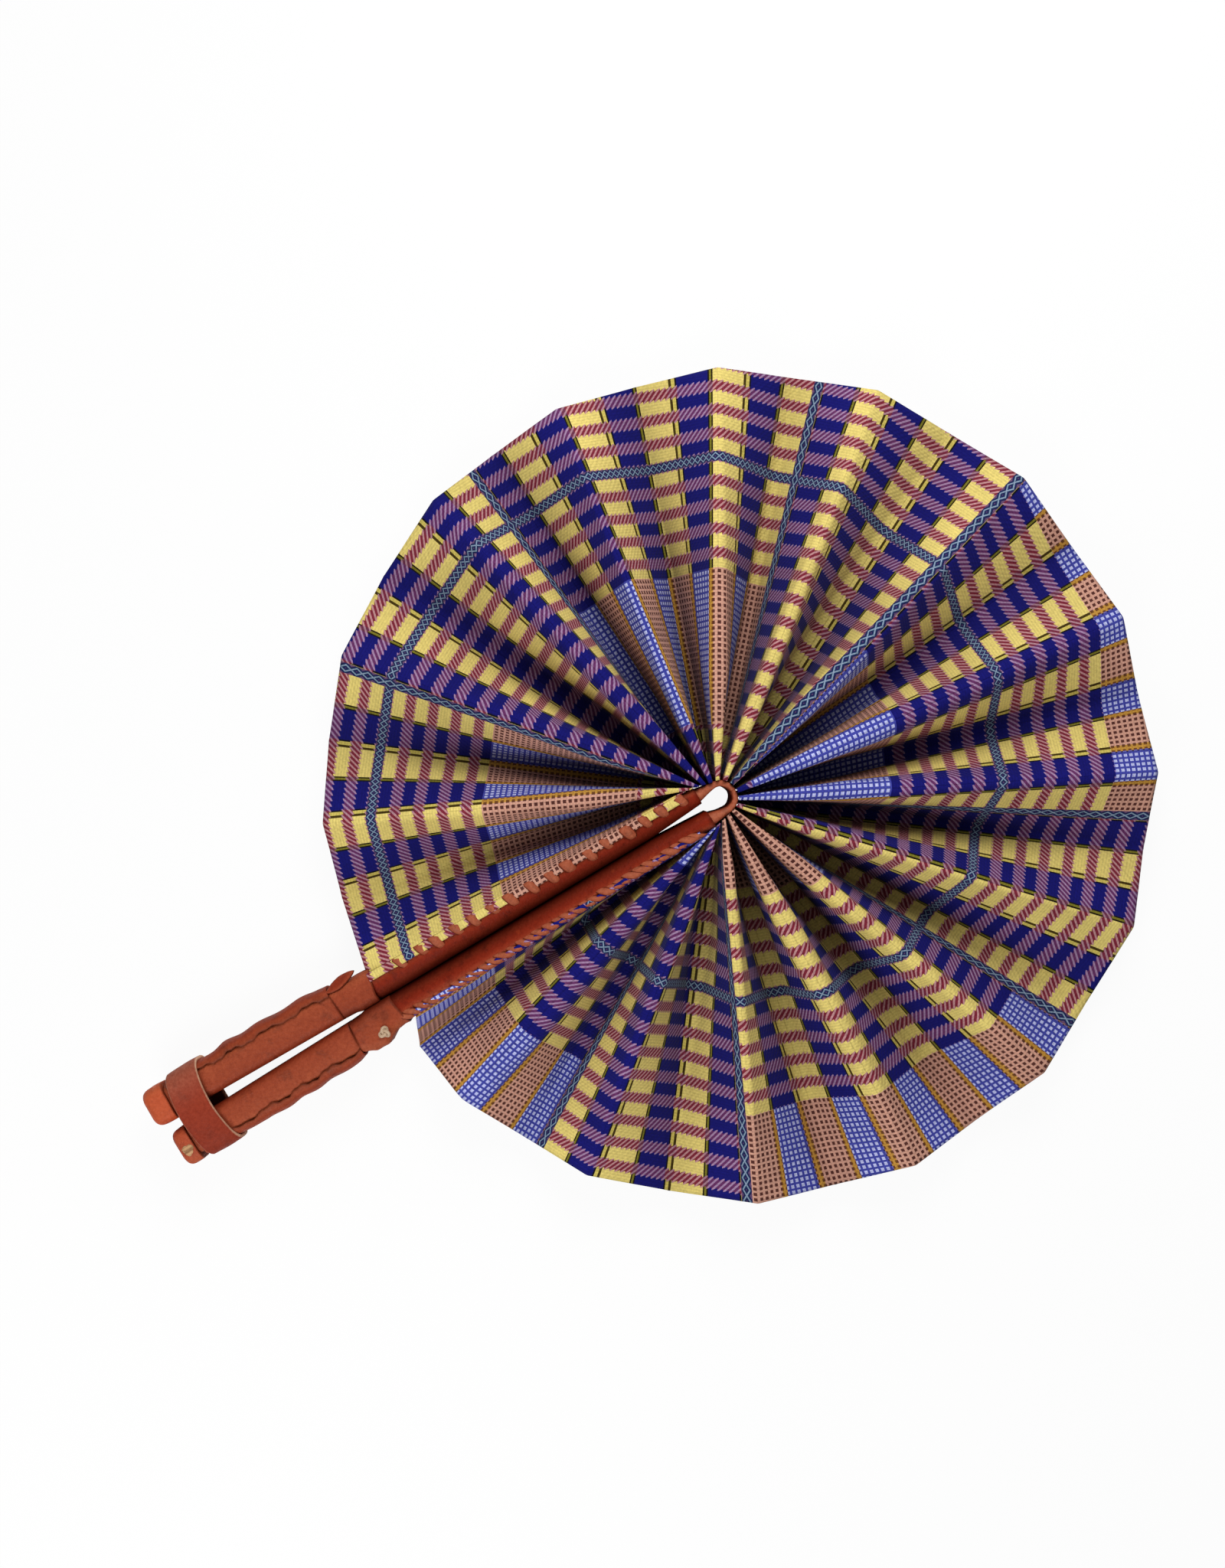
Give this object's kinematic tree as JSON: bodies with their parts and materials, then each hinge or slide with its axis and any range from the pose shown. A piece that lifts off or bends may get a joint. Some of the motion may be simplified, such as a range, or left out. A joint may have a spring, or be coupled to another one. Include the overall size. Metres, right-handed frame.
{
  "type": "folding hand fan",
  "caption": "Round folding hand fan: a pleated check-patterned cloth leaf between two leather-covered sticks, held open as a handle by a sliding leather ring.",
  "frame": {"origin": "on the surface that the open fan lies on, under the middle of its box", "axes": "+Y from the handle towards the far rim, +Z out of the front of the leaf, +X to the right seen from the front with the handle down"},
  "size_m": [0.281, 0.368, 0.0295],
  "materials": {
    "cloth": "printed cotton check in blue, yellow and mauve, backed and stiff",
    "leather": "red-brown smooth leather, a little worn",
    "lace": "narrow leather lacing, orange-brown",
    "wood": "bare pale wood",
    "thread": "waxed pale thread"
  },
  "bodies": {
    "hub": {"hub_strap": "leather", "leaf_panel_17": "cloth"},
    "stick_left": {"stick_core_left": "wood", "blade_wrap_left": "leather", "blade_lace_top_left": "lace", "blade_lace_bottom_left": "lace", "collar_left": "leather", "grip_sleeve_left": "leather", "grip_lap_left": "leather", "tip_cap_left": "leather"},
    "stick_right": {"stick_core_right": "wood", "blade_wrap_right": "leather", "blade_lace_top_right": "lace", "blade_lace_bottom_right": "lace", "collar_right": "leather", "grip_sleeve_right": "leather", "grip_lap_right": "leather", "tip_cap_right": "leather", "collar_knot": "thread"},
    "panel_01": {"leaf_panel_01": "cloth"},
    "panel_02": {"leaf_panel_02": "cloth"},
    "panel_03": {"leaf_panel_03": "cloth"},
    "panel_04": {"leaf_panel_04": "cloth"},
    "panel_05": {"leaf_panel_05": "cloth"},
    "panel_06": {"leaf_panel_06": "cloth"},
    "panel_07": {"leaf_panel_07": "cloth"},
    "panel_08": {"leaf_panel_08": "cloth"},
    "panel_09": {"leaf_panel_09": "cloth"},
    "panel_10": {"leaf_panel_10": "cloth"},
    "panel_11": {"leaf_panel_11": "cloth"},
    "panel_12": {"leaf_panel_12": "cloth"},
    "panel_13": {"leaf_panel_13": "cloth"},
    "panel_14": {"leaf_panel_14": "cloth"},
    "panel_15": {"leaf_panel_15": "cloth"},
    "panel_16": {"leaf_panel_16": "cloth"},
    "panel_18": {"leaf_panel_18": "cloth"},
    "panel_19": {"leaf_panel_19": "cloth"},
    "panel_20": {"leaf_panel_20": "cloth"},
    "panel_21": {"leaf_panel_21": "cloth"},
    "panel_22": {"leaf_panel_22": "cloth"},
    "panel_23": {"leaf_panel_23": "cloth"},
    "panel_24": {"leaf_panel_24": "cloth"},
    "panel_25": {"leaf_panel_25": "cloth"},
    "panel_26": {"leaf_panel_26": "cloth"},
    "panel_27": {"leaf_panel_27": "cloth"},
    "panel_28": {"leaf_panel_28": "cloth"},
    "panel_29": {"leaf_panel_29": "cloth"},
    "panel_30": {"leaf_panel_30": "cloth"},
    "panel_31": {"leaf_panel_31": "cloth"},
    "panel_32": {"leaf_panel_32": "cloth"},
    "keeper": {"keeper_loop": "leather"}
  },
  "joints": [
    {"name": "fan_fold", "type": "hinge", "parent": "hub", "child": "stick_left", "pos_m": [-0.0115, 0.03809, 0.01475], "axis": [0, 0, -1], "range_deg": [0, 178.94], "deforming": ["leaf_panel_01", "leaf_panel_02", "leaf_panel_03", "leaf_panel_04", "leaf_panel_05", "leaf_panel_06", "leaf_panel_07", "leaf_panel_08", "leaf_panel_09", "leaf_panel_10", "leaf_panel_11", "leaf_panel_12", "leaf_panel_13", "leaf_panel_14", "leaf_panel_15", "leaf_panel_16", "leaf_panel_17", "leaf_panel_18", "leaf_panel_19", "leaf_panel_20", "leaf_panel_21", "leaf_panel_22", "leaf_panel_23", "leaf_panel_24", "leaf_panel_25", "leaf_panel_26", "leaf_panel_27", "leaf_panel_28", "leaf_panel_29", "leaf_panel_30", "leaf_panel_31", "leaf_panel_32", "hub_strap"]},
    {"name": "stick_right_swing", "type": "hinge", "parent": "hub", "child": "stick_right", "pos_m": [0.01201, 0.0381, 0.01475], "axis": [0, 0, 1], "range_deg": [0, 178.94]},
    {"name": "panel_01_fold", "type": "hinge", "parent": "hub", "child": "panel_01", "pos_m": [0.01183, 0.03654, 0.01475], "axis": [0, 0, 1], "range_deg": [0, 175.19]},
    {"name": "panel_02_fold", "type": "hinge", "parent": "hub", "child": "panel_02", "pos_m": [0.01123, 0.03768, 0.01475], "axis": [0, 0, 1], "range_deg": [0, 168.02]},
    {"name": "panel_03_fold", "type": "hinge", "parent": "hub", "child": "panel_03", "pos_m": [0.0105, 0.03876, 0.01475], "axis": [0, 0, 1], "range_deg": [0, 158.62]},
    {"name": "panel_04_fold", "type": "hinge", "parent": "hub", "child": "panel_04", "pos_m": [0.00965, 0.03975, 0.01475], "axis": [0, 0, 1], "range_deg": [0, 147.11]},
    {"name": "panel_05_fold", "type": "hinge", "parent": "hub", "child": "panel_05", "pos_m": [0.00882, 0.04061, 0.01475], "axis": [0, 0, 1], "range_deg": [0, 135.64]},
    {"name": "panel_06_fold", "type": "hinge", "parent": "hub", "child": "panel_06", "pos_m": [0.008, 0.04135, 0.01475], "axis": [0, 0, 1], "range_deg": [0, 124.21]},
    {"name": "panel_07_fold", "type": "hinge", "parent": "hub", "child": "panel_07", "pos_m": [0.0072, 0.042, 0.01475], "axis": [0, 0, 1], "range_deg": [0, 112.82]},
    {"name": "panel_08_fold", "type": "hinge", "parent": "hub", "child": "panel_08", "pos_m": [0.00642, 0.04255, 0.01475], "axis": [0, 0, 1], "range_deg": [0, 101.46]},
    {"name": "panel_09_fold", "type": "hinge", "parent": "hub", "child": "panel_09", "pos_m": [0.00565, 0.04302, 0.01475], "axis": [0, 0, 1], "range_deg": [0, 90.12]},
    {"name": "panel_10_fold", "type": "hinge", "parent": "hub", "child": "panel_10", "pos_m": [0.00489, 0.04342, 0.01475], "axis": [0, 0, 1], "range_deg": [0, 78.81]},
    {"name": "panel_11_fold", "type": "hinge", "parent": "hub", "child": "panel_11", "pos_m": [0.00415, 0.04376, 0.01475], "axis": [0, 0, 1], "range_deg": [0, 67.52]},
    {"name": "panel_12_fold", "type": "hinge", "parent": "hub", "child": "panel_12", "pos_m": [0.00341, 0.04403, 0.01475], "axis": [0, 0, 1], "range_deg": [0, 56.25]},
    {"name": "panel_13_fold", "type": "hinge", "parent": "hub", "child": "panel_13", "pos_m": [0.00269, 0.04424, 0.01475], "axis": [0, 0, 1], "range_deg": [0, 44.99]},
    {"name": "panel_14_fold", "type": "hinge", "parent": "hub", "child": "panel_14", "pos_m": [0.00198, 0.04441, 0.01475], "axis": [0, 0, 1], "range_deg": [0, 33.74]},
    {"name": "panel_15_fold", "type": "hinge", "parent": "hub", "child": "panel_15", "pos_m": [0.00128, 0.04452, 0.01475], "axis": [0, 0, 1], "range_deg": [0, 22.49]},
    {"name": "panel_16_fold", "type": "hinge", "parent": "hub", "child": "panel_16", "pos_m": [0.00056, 0.04458, 0.01475], "axis": [0, 0, 1], "range_deg": [0, 11.25]},
    {"name": "panel_18_fold", "type": "hinge", "parent": "hub", "child": "panel_18", "pos_m": [-0.00054, 0.04425, 0.01475], "axis": [0, 0, -1], "range_deg": [0, 11.45]},
    {"name": "panel_19_fold", "type": "hinge", "parent": "hub", "child": "panel_19", "pos_m": [-0.00126, 0.04418, 0.01475], "axis": [0, 0, -1], "range_deg": [0, 22.89]},
    {"name": "panel_20_fold", "type": "hinge", "parent": "hub", "child": "panel_20", "pos_m": [-0.00196, 0.04406, 0.01475], "axis": [0, 0, -1], "range_deg": [0, 34.33]},
    {"name": "panel_21_fold", "type": "hinge", "parent": "hub", "child": "panel_21", "pos_m": [-0.00267, 0.04389, 0.01475], "axis": [0, 0, -1], "range_deg": [0, 45.78]},
    {"name": "panel_22_fold", "type": "hinge", "parent": "hub", "child": "panel_22", "pos_m": [-0.00339, 0.04365, 0.01475], "axis": [0, 0, -1], "range_deg": [0, 57.24]},
    {"name": "panel_23_fold", "type": "hinge", "parent": "hub", "child": "panel_23", "pos_m": [-0.00413, 0.04336, 0.01475], "axis": [0, 0, -1], "range_deg": [0, 68.72]},
    {"name": "panel_24_fold", "type": "hinge", "parent": "hub", "child": "panel_24", "pos_m": [-0.00487, 0.043, 0.01475], "axis": [0, 0, -1], "range_deg": [0, 80.21]},
    {"name": "panel_25_fold", "type": "hinge", "parent": "hub", "child": "panel_25", "pos_m": [-0.00562, 0.04256, 0.01475], "axis": [0, 0, -1], "range_deg": [0, 91.72]},
    {"name": "panel_26_fold", "type": "hinge", "parent": "hub", "child": "panel_26", "pos_m": [-0.00639, 0.04204, 0.01475], "axis": [0, 0, -1], "range_deg": [0, 103.25]},
    {"name": "panel_27_fold", "type": "hinge", "parent": "hub", "child": "panel_27", "pos_m": [-0.00716, 0.04144, 0.01475], "axis": [0, 0, -1], "range_deg": [0, 114.82]},
    {"name": "panel_28_fold", "type": "hinge", "parent": "hub", "child": "panel_28", "pos_m": [-0.00794, 0.04073, 0.01475], "axis": [0, 0, -1], "range_deg": [0, 126.41]},
    {"name": "panel_29_fold", "type": "hinge", "parent": "hub", "child": "panel_29", "pos_m": [-0.00873, 0.03991, 0.01475], "axis": [0, 0, -1], "range_deg": [0, 138.05]},
    {"name": "panel_30_fold", "type": "hinge", "parent": "hub", "child": "panel_30", "pos_m": [-0.00953, 0.03896, 0.01475], "axis": [0, 0, -1], "range_deg": [0, 149.72]},
    {"name": "panel_31_fold", "type": "hinge", "parent": "hub", "child": "panel_31", "pos_m": [-0.01034, 0.03786, 0.01475], "axis": [0, 0, -1], "range_deg": [0, 161.45]},
    {"name": "panel_32_fold", "type": "hinge", "parent": "hub", "child": "panel_32", "pos_m": [-0.01119, 0.03661, 0.01475], "axis": [0, 0, -1], "range_deg": [0, 173.13]},
    {"name": "keeper_slide", "type": "slide", "parent": "stick_left", "child": "keeper", "axis": [0, -1, 0], "range_m": [-0.045, 0.025]}
  ],
  "couplings": [
    {"joint": "stick_right_swing", "follows": "fan_fold", "ratio": 1},
    {"joint": "panel_01_fold", "follows": "fan_fold", "ratio": 0.97898},
    {"joint": "panel_02_fold", "follows": "fan_fold", "ratio": 0.9389},
    {"joint": "panel_03_fold", "follows": "fan_fold", "ratio": 0.88635},
    {"joint": "panel_04_fold", "follows": "fan_fold", "ratio": 0.82204},
    {"joint": "panel_05_fold", "follows": "fan_fold", "ratio": 0.75796},
    {"joint": "panel_06_fold", "follows": "fan_fold", "ratio": 0.69409},
    {"joint": "panel_07_fold", "follows": "fan_fold", "ratio": 0.63042},
    {"joint": "panel_08_fold", "follows": "fan_fold", "ratio": 0.56693},
    {"joint": "panel_09_fold", "follows": "fan_fold", "ratio": 0.50359},
    {"joint": "panel_10_fold", "follows": "fan_fold", "ratio": 0.44039},
    {"joint": "panel_11_fold", "follows": "fan_fold", "ratio": 0.37729},
    {"joint": "panel_12_fold", "follows": "fan_fold", "ratio": 0.31429},
    {"joint": "panel_13_fold", "follows": "fan_fold", "ratio": 0.25136},
    {"joint": "panel_14_fold", "follows": "fan_fold", "ratio": 0.18848},
    {"joint": "panel_15_fold", "follows": "fan_fold", "ratio": 0.12564},
    {"joint": "panel_16_fold", "follows": "fan_fold", "ratio": 0.062815},
    {"joint": "panel_18_fold", "follows": "fan_fold", "ratio": 0.063925},
    {"joint": "panel_19_fold", "follows": "fan_fold", "ratio": 0.12786},
    {"joint": "panel_20_fold", "follows": "fan_fold", "ratio": 0.19181},
    {"joint": "panel_21_fold", "follows": "fan_fold", "ratio": 0.2558},
    {"joint": "panel_22_fold", "follows": "fan_fold", "ratio": 0.31984},
    {"joint": "panel_23_fold", "follows": "fan_fold", "ratio": 0.38396},
    {"joint": "panel_24_fold", "follows": "fan_fold", "ratio": 0.44816},
    {"joint": "panel_25_fold", "follows": "fan_fold", "ratio": 0.51249},
    {"joint": "panel_26_fold", "follows": "fan_fold", "ratio": 0.57695},
    {"joint": "panel_27_fold", "follows": "fan_fold", "ratio": 0.64158},
    {"joint": "panel_28_fold", "follows": "fan_fold", "ratio": 0.70639},
    {"joint": "panel_29_fold", "follows": "fan_fold", "ratio": 0.77141},
    {"joint": "panel_30_fold", "follows": "fan_fold", "ratio": 0.83666},
    {"joint": "panel_31_fold", "follows": "fan_fold", "ratio": 0.90217},
    {"joint": "panel_32_fold", "follows": "fan_fold", "ratio": 0.96744}
  ]
}
